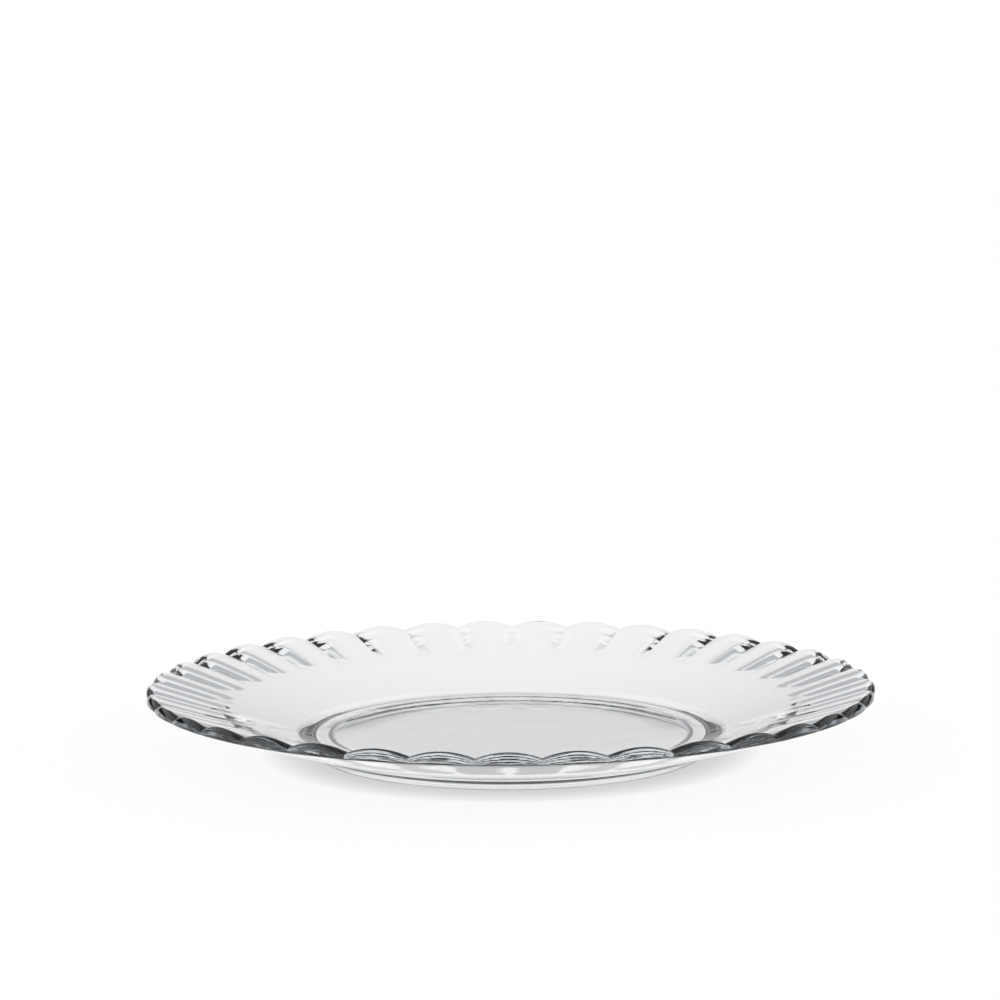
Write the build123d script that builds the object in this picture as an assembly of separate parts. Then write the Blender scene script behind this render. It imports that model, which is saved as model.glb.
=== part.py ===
from build123d import *
import os
from math import cos, radians, sin, sqrt

# A scalloped dessert plate, pressed from clear glass in one piece.
# Millimetres and degrees, +Z up, origin at the centre of the foot on the table.

# Rim and petals
rim_radius = 95.0  # out to the crests of the petals
rim_underside = 15.5  # height of the rim's lower edge
rim_thickness = 3.5  # glass at a petal's crest, up to the edge before it is rounded
edge_round = 2.0  # upper edge of a petal
lip_round = 0.8  # lower edge of the rim
petal_count = 37
front_angle = -90.0  # direction that the first petal's crest faces
scallop_depth = 0.7  # how far the outline draws in between two petals
flute_depth = 1.55  # valley below the crests at the edge
flute_inner_radius = 73.0  # where the petals rise from the wall
petal_sink = 0.15  # start of a petal's crest below the wall's surface

# Well
well_radius = 51.0  # where the floor turns up into the wall
well_turn = 20.0  # radius of that turn
floor_thickness = 3.2
flute_turn = 12.0  # radius with which the wall leaves the petals' crests

# Foot
foot_radius = 51.8
foot_width = 4.8
foot_height = 2.0  # recess under the floor, and the foot's outer side
foot_draft = 0.5  # lean of the foot's sides
foot_bevel = 0.4  # lower edges of the foot

# Allowances for trimming
petal_overlap = 1.3  # width of a raw petal, in pitches
overrun = 1.0  # how far raw shapes run past the finished faces
lip_clearance = 0.1  # room between the outline and the round of the lower lip

half_pitch = 180.0 / petal_count
valley_radius = rim_radius - scallop_depth
half_chord = valley_radius * sin(radians(half_pitch))
arch_radius = (half_chord**2 + flute_depth**2) / (2 * flute_depth)
floor_top = foot_height + floor_thickness
rim_top = rim_underside + rim_thickness
raw_depth = 2 * rim_top  # reach of raw shapes past the table and over the rim
wall_rise = (rim_top - floor_top) / (rim_radius - well_radius)


def crest_height(radius):
    """Height of the wall's upper line, which the crests carry on out to the edge."""
    return floor_top + (radius - well_radius) * wall_rise


def turned(outline):
    """Solid of revolution of a closed outline given as radius and height."""
    return revolve(Plane.XZ * make_face(outline), Axis.Z)


def make_blank():
    """Floor and wall up to the petals, with its upper face finished."""
    reach = rim_radius - rim_thickness
    root_rise = (rim_underside - crest_height(flute_inner_radius)) / (rim_radius - flute_inner_radius)
    root_end = crest_height(flute_inner_radius) + (reach - flute_inner_radius) * root_rise
    upper = FilletPolyline(
        (0, floor_top),
        (well_radius, floor_top),
        (flute_inner_radius, crest_height(flute_inner_radius)),
        (reach, root_end),
        radius=[well_turn, flute_turn],
    )
    closing = Polyline((reach, root_end), (reach, -overrun), (0, -overrun), (0, floor_top))
    return turned(upper + closing)


def petal_section():
    """Section across a petal: a round arch, its crest at the origin, over a deep block."""
    half_width = petal_overlap * half_chord
    spring = sqrt(arch_radius**2 - half_width**2) - arch_radius
    arch = ThreePointArc((-half_width, spring), (0, 0), (half_width, spring))
    sides = Polyline(
        (half_width, spring),
        (half_width, -raw_depth),
        (-half_width, -raw_depth),
        (-half_width, spring),
    )
    return make_face(arch + sides)


def make_petal_end():
    """Body turned about an upright axis inside the rim, which gives a petal its curved end.

    Its upper face rises as the crest does, and meets the upright end in a round.
    """
    inset = rim_radius - valley_radius * cos(radians(half_pitch))
    end_radius = (inset**2 + half_chord**2) / (2 * inset)
    middle = rim_top - end_radius * wall_rise
    upper = FilletPolyline((0, middle), (end_radius, rim_top), (end_radius, -raw_depth), radius=edge_round)
    closing = Polyline((end_radius, -raw_depth), (0, -raw_depth), (0, middle))
    return Pos(rim_radius - end_radius, 0, 0) * turned(upper + closing)


def make_petal():
    """One petal along +X, from under the wall's surface to its rounded end."""
    start = (flute_inner_radius, 0, crest_height(flute_inner_radius) - petal_sink)
    across = Plane(origin=start, x_dir=(0, 1, 0), z_dir=(1, 0, wall_rise))
    ray = extrude(across * petal_section(), 2 * (rim_radius - flute_inner_radius))
    return ray & make_petal_end()


def make_mould_space():
    """Everything above the plate's underside, out to just past the rim.

    The foot's lower edges are bevelled and the rim's lower lip is rounded.
    """
    reach = rim_radius + lip_clearance
    inner = foot_radius - foot_width
    outer = foot_radius + foot_draft
    lip = rim_underside + lip_clearance * (rim_underside - foot_height) / (rim_radius - outer)
    lower = FilletPolyline(
        (0, foot_height),
        (inner, foot_height),
        (inner + foot_draft, foot_bevel),
        (inner + foot_draft + foot_bevel, 0),
        (foot_radius - foot_bevel, 0),
        (foot_radius, foot_bevel),
        (outer, foot_height),
        (reach, lip),
        (reach, raw_depth),
        radius=[0, 0, 0, 0, 0, 0, lip_round],
    )
    closing = Polyline((reach, raw_depth), (0, raw_depth), (0, foot_height))
    return turned(lower + closing)


def make_plate():
    """Floor, wall and petals pressed onto the underside's form."""
    petals = PolarLocations(0, petal_count, start_angle=front_angle) * make_petal()
    return (make_blank() + petals) & make_mould_space()


os.makedirs("parts", exist_ok=True)
export_step(make_plate(), "parts/plate.step")
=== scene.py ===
"""Looks of a scalloped dessert plate, pressed from clear glass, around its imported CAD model."""

import logging
from dataclasses import dataclass, field
from enum import Enum
from math import acos, atan2, ceil, cos, pi, radians, sin, tan
from typing import Union

import bpy
from mathutils import Matrix, Vector


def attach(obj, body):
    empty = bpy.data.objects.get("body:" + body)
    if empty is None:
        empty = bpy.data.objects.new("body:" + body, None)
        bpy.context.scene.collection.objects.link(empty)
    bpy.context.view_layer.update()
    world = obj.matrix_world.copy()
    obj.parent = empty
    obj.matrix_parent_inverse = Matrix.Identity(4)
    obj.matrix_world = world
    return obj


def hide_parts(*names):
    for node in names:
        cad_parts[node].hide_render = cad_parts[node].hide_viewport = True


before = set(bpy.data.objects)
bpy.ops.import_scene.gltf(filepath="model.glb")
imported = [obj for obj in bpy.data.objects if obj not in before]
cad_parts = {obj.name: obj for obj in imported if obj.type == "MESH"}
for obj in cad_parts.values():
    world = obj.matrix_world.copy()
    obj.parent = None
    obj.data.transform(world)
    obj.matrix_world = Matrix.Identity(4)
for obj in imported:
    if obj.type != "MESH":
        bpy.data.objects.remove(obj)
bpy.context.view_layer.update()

MM = 0.001
IMAGE_SIDE = 1000
LOG = logging.getLogger("plate")

Value = Union[float, int, bpy.types.NodeSocket]
Colour = tuple[float, float, float, float]


class Attribute(Enum):
    """Values that the plate's mesh carries from point to point."""

    SHARE = "share"
    EDGE = "edge"


class Op(Enum):
    """Sums that the node trees use."""

    ADD = "ADD"
    SUBTRACT = "SUBTRACT"
    ABSOLUTE = "ABSOLUTE"
    MULTIPLY = "MULTIPLY"
    DIVIDE = "DIVIDE"
    MAXIMUM = "MAXIMUM"
    POWER = "POWER"
    FLOOR = "FLOOR"
    SINE = "SINE"
    COSINE = "COSINE"
    ARCSINE = "ARCSINE"
    ARCTAN2 = "ARCTAN2"
    DEGREES = "DEGREES"
    SMOOTH_MIN = "SMOOTH_MIN"


class Ray(Enum):
    """Rays that see the studio's white, as Light Path names them."""

    CAMERA = "Is Camera Ray"
    GLOSSY = "Is Glossy Ray"
    TRANSMISSION = "Is Transmission Ray"


class NodeBench:
    """A node tree with short calls to add nodes and sums."""

    def __init__(self, tree: bpy.types.NodeTree) -> None:
        """Takes the tree to work on.

        Args:
            tree: node tree of a material, a world or a modifier.
        """
        self.tree = tree

    def add(self, kind: str, **settings: object) -> bpy.types.Node:
        """Adds a node.

        Args:
            kind: Blender's type name of the node.
            settings: properties to set on it.

        Returns:
            The new node.
        """
        node = self.tree.nodes.new(kind)
        for name, value in settings.items():
            setattr(node, name, value)
        return node

    def feed(self, socket: bpy.types.NodeSocket, value: object) -> None:
        """Links a socket to another, or sets its plain value.

        Args:
            socket: input to fill.
            value: output socket, or the value itself.
        """
        if isinstance(value, bpy.types.NodeSocket):
            self.tree.links.new(value, socket)
        else:
            socket.default_value = value

    def put(self, kind: str, inputs: dict[str, object], **settings: object) -> bpy.types.Node:
        """Adds a node and fills its inputs by name.

        Args:
            kind: Blender's type name of the node.
            inputs: values or sockets for the named inputs.
            settings: properties to set on it.

        Returns:
            The new node.
        """
        node = self.add(kind, **settings)
        for name, value in inputs.items():
            self.feed(node.inputs[name], value)
        return node

    def sum(self, op: Op, *values: Value, clamp: bool = False) -> bpy.types.NodeSocket:
        """Adds a Math node.

        Args:
            op: what it works out.
            values: its inputs in order.
            clamp: keep the result between 0 and 1.

        Returns:
            The node's result.
        """
        node = self.add("ShaderNodeMath", operation=op.value, use_clamp=clamp)
        for socket, value in zip(node.inputs, values):
            self.feed(socket, value)
        return node.outputs[0]

    def smooth_step(self, value: Value, start: Value, end: Value) -> bpy.types.NodeSocket:
        """Adds a soft step from 0 to 1.

        Args:
            value: what is stepped.
            start: where the step begins.
            end: where it is complete.

        Returns:
            The step's result.
        """
        node = self.add("ShaderNodeMapRange", interpolation_type="SMOOTHSTEP")
        for socket, source in zip(node.inputs, (value, start, end, 0.0, 1.0)):
            self.feed(socket, source)
        return node.outputs["Result"]


@dataclass(frozen=True)
class Corner:
    """A corner of the plate's section, in millimetres.

    Attributes:
        radius: distance from the plate's axis.
        height: height over the table.
        round: radius of the corner's round, 0 where it is sharp.
        steps: straight pieces in that round.
        spacing: largest step along the run that starts here.
    """

    radius: float
    height: float
    round: float = 0.0
    steps: int = 5
    spacing: float = 6.0

    @property
    def point(self) -> Vector:
        """The corner as radius and height."""
        return Vector((self.radius, self.height))


def rounded(corners: list[Corner]) -> list[Vector]:
    """Turns corners into a line with its rounds drawn and its long runs divided.

    Args:
        corners: corners in order, the two ends included.

    Returns:
        Points as radius and height.
    """
    line = [corners[0].point]
    for before, here, after in zip(corners, corners[1:], corners[2:]):
        back = (before.point - here.point).normalized()
        ahead = (after.point - here.point).normalized()
        half = acos(max(-1.0, min(1.0, back.dot(ahead)))) / 2
        arc = [here.point]
        if here.round:
            centre = here.point + (back + ahead).normalized() * (here.round / sin(half))
            first = here.point + back * (here.round / tan(half)) - centre
            last = here.point + ahead * (here.round / tan(half)) - centre
            turn = first.angle_signed(last)
            step = -turn / here.steps
            arc = [centre + Matrix.Rotation(step * i, 2) @ first for i in range(here.steps + 1)]
        line += divided(line[-1], arc[0], before.spacing) + arc[1:]
    return line + divided(line[-1], corners[-1].point, corners[-2].spacing)


def divided(start: Vector, end: Vector, spacing: float) -> list[Vector]:
    """Divides a straight run.

    Args:
        start: where the run starts, which isn't repeated.
        end: where it ends.
        spacing: largest step.

    Returns:
        Points after the start, the end included.
    """
    steps = max(1, ceil((end - start).length / spacing))
    return [start.lerp(end, i / steps) for i in range(1, steps + 1)]


@dataclass(frozen=True)
class GlassFinish:
    """Clear soda-lime glass, fire-polished after pressing. Relief in metres, density per metre."""

    name: str = "clear_pressed_glass"
    tint: Colour = (1.0, 1.0, 1.0, 1.0)
    refraction: float = 1.517
    depth_tint: Colour = (0.75, 0.80, 0.842, 1.0)
    depth_density: float = 20.0
    polish: float = 0.0
    edge_dullness: float = 0.08
    wave_size: float = 55.0
    wave_height: float = 0.00004
    wave_detail: float = 1.0
    streak_scale: tuple[float, float, float] = (150.0, 150.0, 2500.0)
    streak_height: float = 0.00006
    streak_detail: float = 3.0

    def make(self) -> bpy.types.Material:
        """Builds the material.

        Returns:
            The finished material.
        """
        material = bpy.data.materials.new(self.name)
        material.use_nodes = True
        bench = NodeBench(material.node_tree)
        shader = material.node_tree.nodes["Principled BSDF"]
        output = material.node_tree.nodes["Material Output"]
        shader.inputs["Base Color"].default_value = self.tint
        shader.inputs["IOR"].default_value = self.refraction
        shader.inputs["Transmission Weight"].default_value = 1.0
        edge = bench.add("ShaderNodeAttribute", attribute_name=Attribute.EDGE.value).outputs["Fac"]
        bench.feed(shader.inputs["Roughness"], self._roughness(bench, edge))
        bench.feed(shader.inputs["Normal"], self._relief(bench, edge))
        depth = bench.put(
            "ShaderNodeVolumeAbsorption", {"Color": self.depth_tint, "Density": self.depth_density}
        )
        bench.feed(output.inputs["Volume"], depth.outputs["Volume"])
        return material

    def _roughness(self, bench: NodeBench, edge: bpy.types.NodeSocket) -> bpy.types.NodeSocket:
        """Polish of the faces, a little duller on the rim's edge.

        Args:
            bench: tree of the material.
            edge: mark of the rim's edge.

        Returns:
            The roughness.
        """
        return bench.sum(Op.ADD, bench.sum(Op.MULTIPLY, edge, self.edge_dullness), self.polish)

    def _relief(self, bench: NodeBench, edge: bpy.types.NodeSocket) -> bpy.types.NodeSocket:
        """Slow waves that the mould leaves in the faces, and fine level streaks along the rim's edge.

        Args:
            bench: tree of the material.
            edge: mark of the rim's edge.

        Returns:
            The bent normal.
        """
        place = bench.add("ShaderNodeTexCoord").outputs["Object"]
        waves = bench.put(
            "ShaderNodeTexNoise", {"Vector": place, "Scale": self.wave_size, "Detail": self.wave_detail}
        )
        soft = bench.put("ShaderNodeBump", {"Height": waves.outputs["Fac"], "Distance": self.wave_height})
        flat = bench.put("ShaderNodeMapping", {"Vector": place, "Scale": self.streak_scale})
        streaks = bench.put(
            "ShaderNodeTexNoise",
            {"Vector": flat.outputs["Vector"], "Scale": 1.0, "Detail": self.streak_detail},
        )
        height = bench.sum(Op.MULTIPLY, streaks.outputs["Fac"], edge)
        fine = bench.put(
            "ShaderNodeBump",
            {"Height": height, "Distance": self.streak_height, "Normal": soft.outputs["Normal"]},
        )
        return fine.outputs["Normal"]


PETAL_SIZES = (
    "Front Angle",
    "Rim Radius",
    "Petal Start",
    "Flute Depth",
    "Root Drop",
    "Crease",
    "Crease Reach",
    "Scallop Depth",
    "Scallop Reach",
    "Edge Zone",
    "Wall Rise",
    "Weld",
)


@dataclass
class Plate:
    """The plate: one pressing with well, wall, petals and foot. Sizes in millimetres."""

    rim_radius: float = 95.0
    rim_underside: float = 15.5
    rim_thickness: float = 3.5
    edge_round: float = 2.0
    edge_zone: float = 0.8
    lip_round: float = 0.8
    petal_count: int = 37
    front_angle: float = -90.0
    scallop_depth: float = 0.7
    scallop_reach: float = 12.0
    flute_depth: float = 1.55
    flute_inner_radius: float = 73.0
    crease: float = 0.25
    crease_reach: float = 6.0
    well_radius: float = 52.0
    well_turn: float = 2.0
    floor_thickness: float = 3.2
    foot_radius: float = 52.0
    foot_width: float = 5.0
    foot_height: float = 2.0
    foot_draft: float = 0.1
    foot_inner_round: float = 0.9
    foot_outer_round: float = 1.2
    petal_steps: int = 24
    petal_spacing: float = 1.0
    wall_spacing: float = 5.0
    flat_spacing: float = 12.0
    edge_spacing: float = 0.6
    edge_steps: int = 10
    round_steps: int = 8
    weld: float = 0.001
    finish: GlassFinish = field(default_factory=GlassFinish)

    @property
    def floor_top(self) -> float:
        """Height of the well's floor."""
        return self.foot_height + self.floor_thickness

    @property
    def rim_top(self) -> float:
        """Height of the crests at the edge."""
        return self.rim_underside + self.rim_thickness

    @property
    def foot_edge(self) -> Vector:
        """Radius and height where the wall's underside leaves the foot."""
        return Vector((self.foot_radius + self.foot_draft, self.foot_height))

    def crest_height(self, radius: float) -> float:
        """Height of the wall's upper line at a radius."""
        rise = (self.rim_top - self.floor_top) / (self.rim_radius - self.well_radius)
        return self.floor_top + (radius - self.well_radius) * rise

    def underside_height(self, radius: float) -> float:
        """Height of the wall's underside at a radius."""
        rise = (self.rim_underside - self.foot_edge.y) / (self.rim_radius - self.foot_edge.x)
        return self.foot_edge.y + (radius - self.foot_edge.x) * rise

    def section(self) -> list[Vector]:
        """Draws the section through a crest.

        Returns:
            Points as radius and height, from the centre below, round the edge, to the centre above.
        """
        inner = self.foot_radius - self.foot_width
        start = self.flute_inner_radius
        corners = [
            Corner(0, self.foot_height, spacing=self.flat_spacing),
            Corner(inner, self.foot_height, self.foot_inner_round, self.round_steps),
            Corner(inner + self.foot_draft, 0, self.foot_inner_round, self.round_steps),
            Corner(self.foot_radius, 0, self.foot_outer_round, self.round_steps),
            Corner(self.foot_edge.x, self.foot_edge.y),
            Corner(self.rim_radius, self.rim_underside, self.lip_round, spacing=self.edge_spacing),
            Corner(self.rim_radius, self.rim_top, self.edge_round, self.edge_steps, self.petal_spacing),
            Corner(start, self.crest_height(start), spacing=self.wall_spacing),
            Corner(self.well_radius, self.floor_top, self.well_turn, self.round_steps, self.flat_spacing),
            Corner(0, self.floor_top),
        ]
        return rounded(corners)

    def share(self, point: Vector) -> float:
        """How much of a valley's drop a point of the section takes.

        Args:
            point: radius and height.

        Returns:
            0 on the underside, 1 on the upper face, and between them across the edge.
        """
        low = self.underside_height(point.x)
        return max(0.0, min(1.0, (point.y - low) / (self.crest_height(point.x) - low)))

    def press(self) -> bpy.types.NodeTree:
        """Builds the tree that turns the section into petals.

        Returns:
            The tree, with the section as its geometry and the petals' sizes as inputs, in metres.
        """
        tree = bpy.data.node_groups.new("petal_press", "GeometryNodeTree")
        face = tree.interface
        face.new_socket("Section", in_out="INPUT", socket_type="NodeSocketGeometry")
        for name in ("Petals", "Steps"):
            face.new_socket(name, in_out="INPUT", socket_type="NodeSocketInt")
        for name in PETAL_SIZES:
            face.new_socket(name, in_out="INPUT", socket_type="NodeSocketFloat")
        face.new_socket("Glass", in_out="INPUT", socket_type="NodeSocketMaterial")
        face.new_socket("Plate", in_out="OUTPUT", socket_type="NodeSocketGeometry")
        bench = NodeBench(tree)
        given = bench.add("NodeGroupInput").outputs
        petal = self._petal(bench, given)
        ring = self._ring(bench, given, petal)
        dressed = bench.put("GeometryNodeSetMaterial", {"Geometry": ring, "Material": given["Glass"]})
        bench.put("NodeGroupOutput", {"Plate": dressed.outputs["Geometry"]})
        return tree

    def _petal(self, bench: NodeBench, given: bpy.types.bpy_prop_collection) -> bpy.types.NodeSocket:
        """Adds the nodes of one petal's slice, its crest along +X.

        Args:
            bench: tree of the press.
            given: the press's inputs.

        Returns:
            The slice's mesh.
        """
        section = given["Section"]
        count = bench.put("GeometryNodeAttributeDomainSize", {"Geometry": section}).outputs["Point Count"]
        columns = bench.sum(Op.ADD, given["Steps"], 1)
        grid = bench.put("GeometryNodeMeshGrid", {"Vertices X": columns, "Vertices Y": count})
        index = bench.add("GeometryNodeInputIndex").outputs["Index"]
        column = bench.sum(Op.FLOOR, bench.sum(Op.DIVIDE, bench.sum(Op.ADD, index, 0.5), count))
        row = bench.sum(Op.SUBTRACT, index, bench.sum(Op.MULTIPLY, column, count))
        where = bench.add("GeometryNodeInputPosition").outputs["Position"]
        place = self._sampled(bench, section, where, row, "FLOAT_VECTOR")
        name = Attribute.SHARE.value
        kept = bench.put("GeometryNodeInputNamedAttribute", {"Name": name}, data_type="FLOAT")
        share = self._sampled(bench, section, kept.outputs["Attribute"], row, "FLOAT")
        parts = bench.put("ShaderNodeSeparateXYZ", {"Vector": place}).outputs
        radius, height = parts["X"], parts["Z"]

        across = bench.sum(Op.SUBTRACT, bench.sum(Op.DIVIDE, column, given["Steps"]), 0.5)
        side = bench.sum(Op.SINE, bench.sum(Op.MULTIPLY, across, pi))
        square = bench.sum(Op.MULTIPLY, side, side)
        drop = self._drop(bench, given, radius, side)
        start = bench.sum(Op.SUBTRACT, given["Rim Radius"], given["Scallop Reach"])
        reach = bench.smooth_step(radius, start, given["Rim Radius"])
        pull = bench.sum(Op.MULTIPLY, bench.sum(Op.MULTIPLY, given["Scallop Depth"], square), reach)
        slid = bench.sum(Op.MULTIPLY, pull, given["Wall Rise"])
        lowered = bench.sum(Op.SUBTRACT, height, bench.sum(Op.MULTIPLY, share, drop))
        height = bench.sum(Op.SUBTRACT, lowered, slid)
        drawn = bench.sum(Op.SUBTRACT, radius, pull)
        angle = bench.sum(Op.MULTIPLY, side, bench.sum(Op.DIVIDE, pi, given["Petals"]))
        x = bench.sum(Op.MULTIPLY, drawn, bench.sum(Op.COSINE, angle))
        y = bench.sum(Op.MULTIPLY, drawn, bench.sum(Op.SINE, angle))
        spot = bench.put("ShaderNodeCombineXYZ", {"X": x, "Y": y, "Z": height}).outputs["Vector"]

        edge = self._edge(bench, given, radius, square)
        marked = bench.put(
            "GeometryNodeStoreNamedAttribute",
            {"Geometry": grid.outputs["Mesh"], "Name": Attribute.EDGE.value, "Value": edge},
            data_type="FLOAT",
        )
        mesh = marked.outputs["Geometry"]
        bent = bench.put("GeometryNodeSetPosition", {"Geometry": mesh, "Position": spot})
        return bent.outputs["Geometry"]

    @staticmethod
    def _sampled(
        bench: NodeBench,
        section: bpy.types.NodeSocket,
        value: bpy.types.NodeSocket,
        row: bpy.types.NodeSocket,
        kind: str,
    ) -> bpy.types.NodeSocket:
        """Reads a value of the section at a row.

        Args:
            bench: tree of the press.
            section: the section's geometry.
            value: field to read.
            row: number of the section's point.
            kind: Blender's name of the value's type.

        Returns:
            The value at that point.
        """
        inputs = {"Geometry": section, "Value": value, "Index": row}
        return bench.put("GeometryNodeSampleIndex", inputs, data_type=kind).outputs["Value"]

    @staticmethod
    def _drop(
        bench: NodeBench,
        given: bpy.types.bpy_prop_collection,
        radius: bpy.types.NodeSocket,
        side: bpy.types.NodeSocket,
    ) -> bpy.types.NodeSocket:
        """How far the upper face lies under the crest line.

        Args:
            bench: tree of the press.
            given: the press's inputs.
            radius: distance from the plate's axis.
            side: place across the petal, -1 and 1 at its valleys.

        Returns:
            The drop, limited by the wall's root between the petals.
        """
        start, rim = given["Petal Start"], given["Rim Radius"]
        out = bench.sum(Op.SUBTRACT, radius, start)
        along = bench.sum(Op.MAXIMUM, bench.sum(Op.DIVIDE, out, bench.sum(Op.SUBTRACT, rim, start)), 0.0)
        root = bench.sum(Op.MULTIPLY, along, given["Root Drop"])
        aside = bench.sum(Op.DIVIDE, bench.sum(Op.MULTIPLY, radius, side), rim)
        arch = bench.sum(Op.MULTIPLY, given["Flute Depth"], bench.sum(Op.MULTIPLY, aside, aside))
        open_share = bench.sum(Op.DIVIDE, out, given["Crease Reach"], clamp=True)
        soft = bench.sum(Op.MULTIPLY, given["Crease"], open_share)
        return bench.sum(Op.MAXIMUM, bench.sum(Op.SMOOTH_MIN, root, arch, soft), 0.0)

    @staticmethod
    def _edge(
        bench: NodeBench,
        given: bpy.types.bpy_prop_collection,
        radius: bpy.types.NodeSocket,
        square: bpy.types.NodeSocket,
    ) -> bpy.types.NodeSocket:
        """Marks the curved end face of a petal.

        Args:
            bench: tree of the press.
            given: the press's inputs.
            radius: distance from the plate's axis.
            square: square of the place across the petal.

        Returns:
            1 in the middle of the face, 0 at the valleys and on the other faces.
        """
        rim = given["Rim Radius"]
        outer = bench.smooth_step(radius, bench.sum(Op.SUBTRACT, rim, given["Edge Zone"]), rim)
        return bench.sum(Op.MULTIPLY, outer, bench.sum(Op.SUBTRACT, 1.0, bench.sum(Op.POWER, square, 2.0)))

    @staticmethod
    def _ring(
        bench: NodeBench, given: bpy.types.bpy_prop_collection, petal: bpy.types.NodeSocket
    ) -> bpy.types.NodeSocket:
        """Adds the nodes that set the slices round the axis and weld them.

        Args:
            bench: tree of the press.
            given: the press's inputs.
            petal: the slice's mesh.

        Returns:
            The welded ring.
        """
        spots = bench.put(
            "GeometryNodeMeshLine", {"Count": given["Petals"], "Offset": (0.0, 0.0, 0.0)}, mode="OFFSET"
        )
        index = bench.add("GeometryNodeInputIndex").outputs["Index"]
        pitch = bench.sum(Op.DIVIDE, 2 * pi, given["Petals"])
        turn = bench.sum(Op.ADD, bench.sum(Op.MULTIPLY, index, pitch), given["Front Angle"])
        turned = bench.put("ShaderNodeCombineXYZ", {"Z": turn}).outputs["Vector"]
        set_round = bench.put(
            "GeometryNodeInstanceOnPoints",
            {"Points": spots.outputs["Mesh"], "Instance": petal, "Rotation": turned},
        )
        joined = bench.put("GeometryNodeRealizeInstances", {"Geometry": set_round.outputs["Instances"]})
        welded = bench.put(
            "GeometryNodeMergeByDistance", {"Geometry": joined.outputs["Geometry"], "Distance": given["Weld"]}
        )
        smooth = bench.put("GeometryNodeSetShadeSmooth", {"Geometry": welded.outputs["Geometry"]})
        return smooth.outputs["Geometry"]

    def build(self) -> bpy.types.Object:
        """Presses the plate.

        Returns:
            The plate as a plain mesh object at the origin.
        """
        points = self.section()
        mesh = bpy.data.meshes.new("section")
        spots = [(p.x * MM, 0.0, p.y * MM) for p in points]
        mesh.from_pydata(spots, [(i, i + 1) for i in range(len(points) - 1)], [])
        shares = mesh.attributes.new(Attribute.SHARE.value, "FLOAT", "POINT")
        shares.data.foreach_set("value", [self.share(p) for p in points])
        plate = bpy.data.objects.new("pressed_plate", mesh)
        bpy.context.scene.collection.objects.link(plate)
        modifier = plate.modifiers.new("press", "NODES")
        modifier.node_group = self.press()
        sizes = {
            "Petals": self.petal_count,
            "Steps": self.petal_steps,
            "Front Angle": radians(self.front_angle),
            "Rim Radius": self.rim_radius * MM,
            "Petal Start": self.flute_inner_radius * MM,
            "Flute Depth": self.flute_depth * MM,
            "Root Drop": self.rim_thickness * MM,
            "Crease": self.crease * MM,
            "Crease Reach": self.crease_reach * MM,
            "Scallop Depth": self.scallop_depth * MM,
            "Scallop Reach": self.scallop_reach * MM,
            "Edge Zone": self.edge_zone * MM,
            "Wall Rise": (self.rim_top - self.floor_top) / (self.rim_radius - self.well_radius),
            "Weld": self.weld * MM,
            "Glass": self.finish.make(),
        }
        for socket in modifier.node_group.interface.items_tree:
            if socket.in_out == "INPUT" and socket.name in sizes:
                modifier[socket.identifier] = sizes[socket.name]
        evaluated = plate.evaluated_get(bpy.context.evaluated_depsgraph_get())
        pressed = bpy.data.meshes.new_from_object(evaluated)
        plate.modifiers.remove(modifier)
        plate.data = pressed
        bpy.data.meshes.remove(mesh)
        return plate


@dataclass(frozen=True)
class Panel:
    """A grey panel on both sides of the white dome. Angles in degrees.

    Attributes:
        turn: from where to where it stands, counted both ways round from straight behind the plate.
        rise: its lower and upper edge, as elevations.
        level: brightness that it leaves of the dome's.
        blur: width of its soft edges.
    """

    turn: tuple[float, float]
    rise: tuple[float, float]
    level: float
    blur: float = 6.0

    def left(self, turn: float, rise: float) -> float:
        """Share of the dome's brightness that the panel leaves in a direction."""
        return 1.0 - (1.0 - self.level) * self._part(turn, *self.turn) * self._part(rise, *self.rise)

    def _part(self, angle: float, start: float, end: float) -> float:
        """How much of an angle lies between two soft edges, 0 to 1."""
        rising = max(0.0, min(1.0, (angle - start) / self.blur))
        falling = max(0.0, min(1.0, (end - angle) / self.blur))
        return rising * rising * (3.0 - 2.0 * rising) * falling * falling * (3.0 - 2.0 * falling)

    def wired(
        self, bench: NodeBench, turn: bpy.types.NodeSocket, rise: bpy.types.NodeSocket
    ) -> bpy.types.NodeSocket:
        """Adds the nodes that work out the same share.

        Args:
            bench: tree of the world.
            turn: angle from straight behind the plate.
            rise: elevation.

        Returns:
            The share that is left.
        """
        part = 1.0 - self.level
        for angle, (start, end) in ((turn, self.turn), (rise, self.rise)):
            rising = bench.smooth_step(angle, start, start + self.blur)
            falling = bench.smooth_step(angle, end, end - self.blur)
            part = bench.sum(Op.MULTIPLY, part, bench.sum(Op.MULTIPLY, rising, falling))
        return bench.sum(Op.SUBTRACT, 1.0, part)


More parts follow.
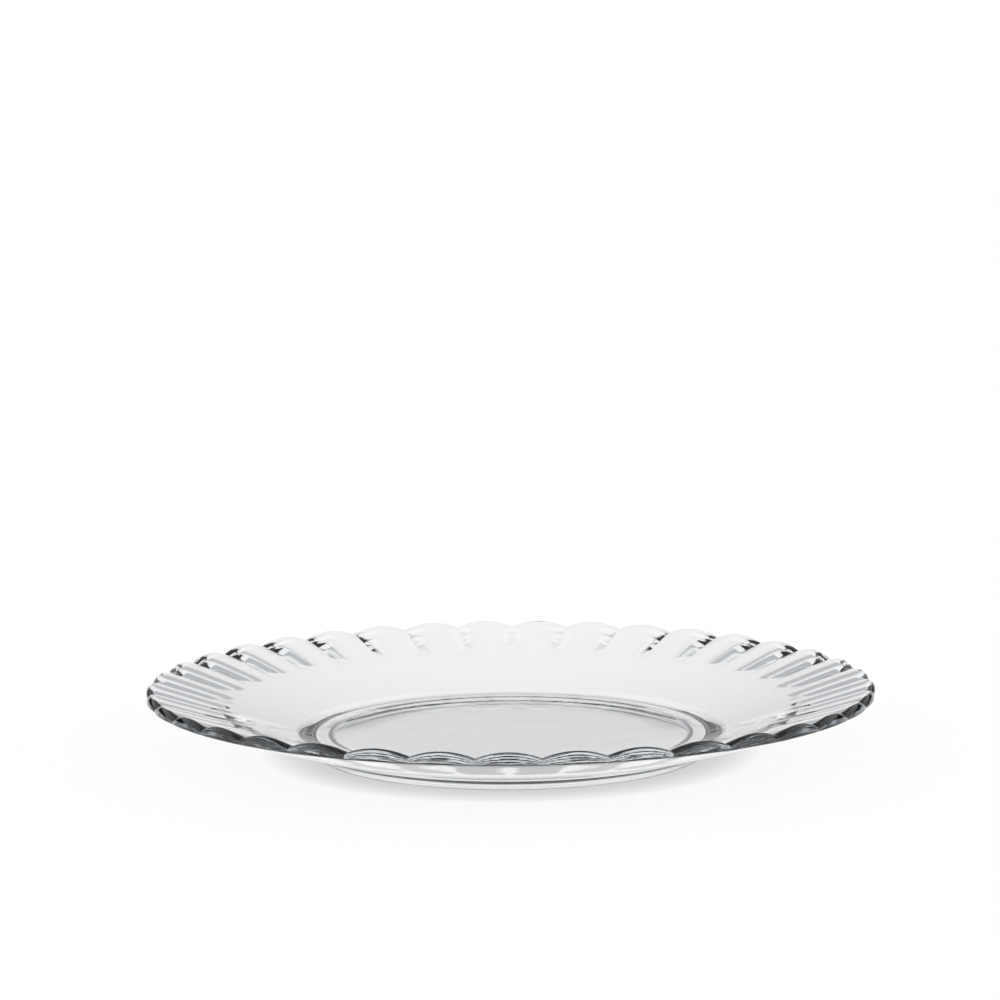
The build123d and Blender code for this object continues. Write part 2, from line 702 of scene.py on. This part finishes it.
@dataclass
class Studio:
    """White table under a white dome of soft light with grey panels. Lengths in metres."""

    table_half: float = 8.0
    table_white: float = 0.15
    # Painted shadow on the table near what stands on it: reach, depth and samples of the ambient-occlusion
    # darkening of the camera's white.
    painted_shadow_reach: float = 0.006
    painted_shadow_depth: float = 0.4
    painted_shadow_samples: int = 16
    back: Panel = Panel((-20.0, 28.0), (4.0, 72.0), 0.5)
    flag: Panel = Panel((24.0, 62.0), (3.0, 26.0), 0.03)
    top: Panel = Panel((-20.0, 200.0), (60.0, 110.0), 0.5)
    panel_tint: Colour = (0.93, 0.955, 1.0, 1.0)

    @property
    def panels(self) -> tuple[Panel, ...]:
        """All the panels."""
        return self.back, self.flag, self.top

    def brightness(self, turn: float, rise: float) -> float:
        """Brightness of the dome in a direction, in degrees."""
        level = 1.0
        for panel in self.panels:
            level *= panel.left(turn, rise)
        return level

    def table_light(self) -> float:
        """Light that an open spot of the table gets, 1 under an all-white dome."""
        total = 0.0
        for up in range(90):
            ring = [self.brightness(turn + 0.5, up + 0.5) for turn in range(180)]
            total += sum(ring) / len(ring) * sin(radians(2 * up + 1)) * radians(1.0)
        return total

    def build(self) -> bpy.types.Object:
        """Makes the table and the dome.

        Returns:
            The table.
        """
        mesh = bpy.data.meshes.new("table")
        half = self.table_half
        corners = [(-half, -half, 0), (half, -half, 0), (half, half, 0), (-half, half, 0)]
        mesh.from_pydata(corners, [], [(0, 1, 2, 3)])
        mesh.materials.append(self._table_finish())
        table = bpy.data.objects.new("table", mesh)
        bpy.context.scene.collection.objects.link(table)
        self._dome()
        return table

    def _table_finish(self) -> bpy.types.Material:
        """White sheet that shows white to the camera and in the glass, with a painted shadow near what it
        carries: an ambient-occlusion node darkens the white that the camera sees.

        Returns:
            The material.
        """
        material = bpy.data.materials.new("white_sheet")
        material.use_nodes = True
        material.node_tree.nodes.clear()
        bench = NodeBench(material.node_tree)
        path = bench.add("ShaderNodeLightPath").outputs
        # Painted shadow: the white that camera rays see is dimmed where the ambient-occlusion node finds
        # geometry close by, not by any light.
        near = bench.put(
            "ShaderNodeAmbientOcclusion", {"Distance": self.painted_shadow_reach}, samples=self.painted_shadow_samples
        )
        hidden = bench.sum(Op.SUBTRACT, 1.0, near.outputs["AO"])
        open_share = bench.sum(Op.SUBTRACT, 1.0, bench.sum(Op.MULTIPLY, hidden, self.painted_shadow_depth))
        seen = bench.sum(Op.MULTIPLY, path[Ray.CAMERA.value], open_share)
        for ray in (Ray.GLOSSY, Ray.TRANSMISSION):
            seen = bench.sum(Op.MAXIMUM, seen, path[ray.value])
        white = (self.table_white, self.table_white, self.table_white, 1.0)
        sheet = bench.put("ShaderNodeBsdfDiffuse", {"Color": white})
        lift = bench.sum(Op.MULTIPLY, seen, 1.0 - self.table_white * self.table_light())
        glow = bench.put("ShaderNodeEmission", {"Strength": lift})
        both = bench.add("ShaderNodeAddShader")
        bench.feed(both.inputs[0], sheet.outputs["BSDF"])
        bench.feed(both.inputs[1], glow.outputs["Emission"])
        bench.put("ShaderNodeOutputMaterial", {"Surface": both.outputs["Shader"]})
        return material

    def _dome(self) -> None:
        """Lights the world by direction."""
        world = bpy.data.worlds.new("dome")
        bpy.context.scene.world = world
        world.use_nodes = True
        bench = NodeBench(world.node_tree)
        way = bench.add("ShaderNodeTexCoord").outputs["Generated"]
        parts = bench.put("ShaderNodeSeparateXYZ", {"Vector": way}).outputs
        aside = bench.sum(Op.ARCTAN2, bench.sum(Op.ABSOLUTE, parts["X"]), parts["Y"])
        turn = bench.sum(Op.DEGREES, aside)
        rise = bench.sum(Op.DEGREES, bench.sum(Op.ARCSINE, parts["Z"]))
        level: Value = 1.0
        for panel in self.panels:
            level = bench.sum(Op.MULTIPLY, level, panel.wired(bench, turn, rise))
        background = world.node_tree.nodes["Background"]
        colour = bench.add("ShaderNodeMixRGB")
        for name, value in (("Fac", level), ("Color1", self.panel_tint), ("Color2", (1.0, 1.0, 1.0, 1.0))):
            bench.feed(colour.inputs[name], value)
        bench.feed(background.inputs["Color"], colour.outputs["Color"])
        bench.feed(background.inputs["Strength"], level)


@dataclass(frozen=True)
class PhotoCamera:
    """Camera at the photograph's viewpoint. Metres, degrees, and pixels of the photograph."""

    aim_height: float = 0.015
    elevation: float = 10.73
    turn: float = 0.35
    distance: float = 0.845
    focal_pixels: float = 3222.0
    aim_pixel: tuple[float, float] = (510.5, 691.7)
    roll: float = -0.41
    sensor: float = 36.0

    def build(self) -> bpy.types.Object:
        """Sets the camera so that the aimed point lands on its pixel.

        Returns:
            The camera object.
        """
        lift = radians(self.elevation)
        aim = Vector((0.0, 0.0, self.aim_height))
        turn = radians(self.turn)
        eye = aim + self.distance * Vector((cos(lift) * sin(turn), -cos(lift) * cos(turn), sin(lift)))
        ahead = (aim - eye).normalized()
        right = ahead.cross(Vector((0.0, 0.0, 1.0))).normalized()
        level = Matrix((right, right.cross(ahead), -ahead)).transposed()
        side = self.aim_pixel[0] - IMAGE_SIDE / 2
        over = IMAGE_SIDE / 2 - self.aim_pixel[1]
        roll = Matrix.Rotation(radians(self.roll), 3, "Z")
        pitch = Matrix.Rotation(-atan2(over, self.focal_pixels), 3, "X")
        yaw = Matrix.Rotation(atan2(side, self.focal_pixels), 3, "Y")
        lens = bpy.data.cameras.new("photo_camera")
        lens.sensor_width = self.sensor
        lens.lens = self.focal_pixels / IMAGE_SIDE * self.sensor
        camera = bpy.data.objects.new("photo_camera", lens)
        bpy.context.scene.collection.objects.link(camera)
        camera.matrix_world = Matrix.Translation(eye) @ (level @ roll @ pitch @ yaw).to_4x4()
        bpy.context.scene.camera = camera
        return camera


def main() -> None:
    """Builds the plate, the studio and the camera."""
    logging.basicConfig(level=logging.INFO, format="%(name)s: %(message)s")
    plate = Plate().build()
    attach(plate, "root")
    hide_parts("plate")
    LOG.info("%s: %d faces", plate.name, len(plate.data.polygons))
    table = Studio().build()
    LOG.info("%s: stage", table.name)
    camera = PhotoCamera().build()
    LOG.info("%s: lens %.1f mm", camera.name, camera.data.lens)
    bpy.context.scene.view_settings.view_transform = "Standard"


if __name__ == "__main__":
    main()
